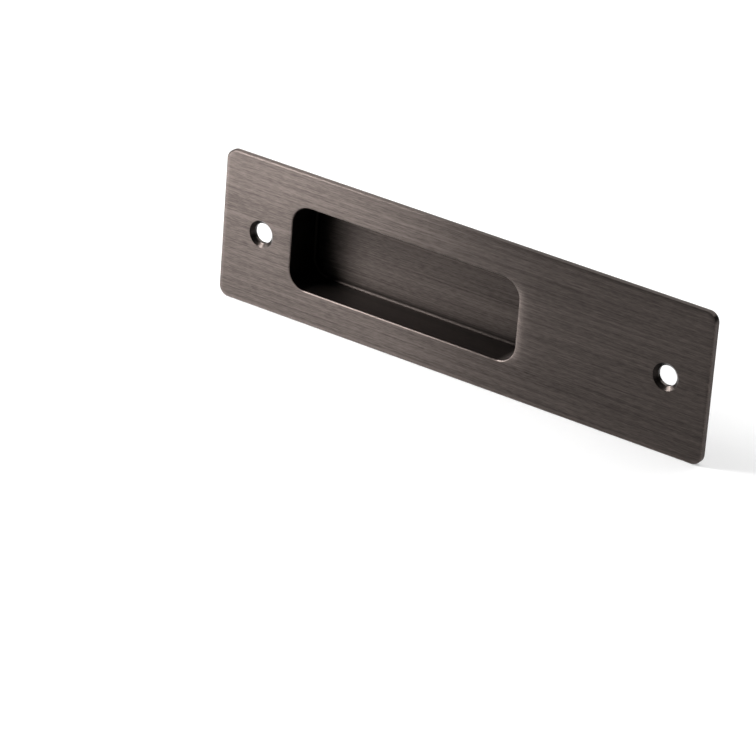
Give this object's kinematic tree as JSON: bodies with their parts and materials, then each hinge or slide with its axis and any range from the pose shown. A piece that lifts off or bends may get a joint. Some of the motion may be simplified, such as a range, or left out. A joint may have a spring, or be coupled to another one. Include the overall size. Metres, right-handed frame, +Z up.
{
  "type": "recessed door pull",
  "caption": "Flat rectangular door pull plate with a rectangular finger recess towards one end and a countersunk screw hole near each end.",
  "frame": {"origin": "middle of the screw pattern, on the plane that seats on the door", "axes": "+X along the plate, away from the recess; +Z up across its width; -Y out of the door, the way the face looks; +Y into the door"},
  "size_m": [0.18, 0.0152, 0.05],
  "materials": {
    "bronzed_brass": "brushed lengthwise, dark bronze"
  },
  "bodies": {
    "root": {"pull_plate": "bronzed_brass"}
  },
  "joints": []
}
